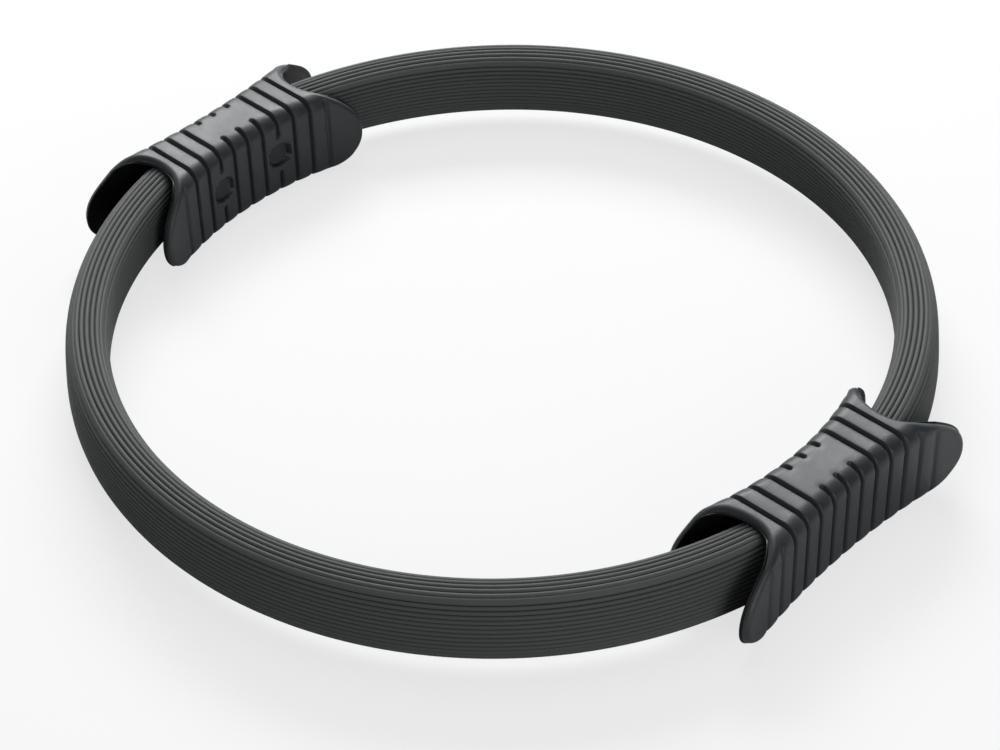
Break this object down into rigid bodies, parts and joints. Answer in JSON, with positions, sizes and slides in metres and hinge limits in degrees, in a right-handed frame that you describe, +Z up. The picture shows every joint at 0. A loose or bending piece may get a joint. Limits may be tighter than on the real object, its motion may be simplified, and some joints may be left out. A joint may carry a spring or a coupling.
{
  "type": "pilates ring",
  "caption": "Sprung exercise ring: a steel hoop in ribbed dark grey sleeves, with a grooved hourglass handle on each side to squeeze between the hands or legs.",
  "frame": {"origin": "middle of the ring, on the plane that the handles rest on", "axes": "+Z up, square to the ring's plane; +X from the ring's middle to the right handle; +Y along the handles towards the rear sleeve"},
  "size_m": [0.375, 0.36, 0.045],
  "materials": {
    "sleeve_rubber": "satin extruded rubber, dark grey",
    "grip_rubber": "soft matte rubber, blue grey",
    "core_plastic": "glossy black",
    "plug_plastic": "matte, blue grey",
    "spring_steel": "tempered spring steel",
    "fastener_steel": "zinc plated"
  },
  "bodies": {
    "ring": {"spring_hoop": "spring_steel", "splice_plate": "spring_steel", "splice_rivet_front_lower": "fastener_steel", "splice_rivet_front_upper": "fastener_steel", "splice_rivet_rear_lower": "fastener_steel", "splice_rivet_rear_upper": "fastener_steel", "front_sleeve": "sleeve_rubber", "rear_sleeve": "sleeve_rubber", "left_grip": "grip_rubber", "left_core_inner": "core_plastic", "left_core_outer": "core_plastic", "left_screw_front": "fastener_steel", "left_screw_rear": "fastener_steel", "left_plug_front": "plug_plastic", "left_plug_rear": "plug_plastic"},
    "right_handle": {"right_grip": "grip_rubber", "right_core_inner": "core_plastic", "right_core_outer": "core_plastic", "right_screw_front": "fastener_steel", "right_screw_rear": "fastener_steel", "right_plug_front": "plug_plastic", "right_plug_rear": "plug_plastic"}
  },
  "joints": [
    {"name": "squeeze", "type": "slide", "parent": "ring", "child": "right_handle", "axis": [1, 0, 0], "range_m": [-0.06, 0.02], "stiffness_N_per_m": 2000, "deforming": ["spring_hoop", "front_sleeve", "rear_sleeve"]}
  ]
}
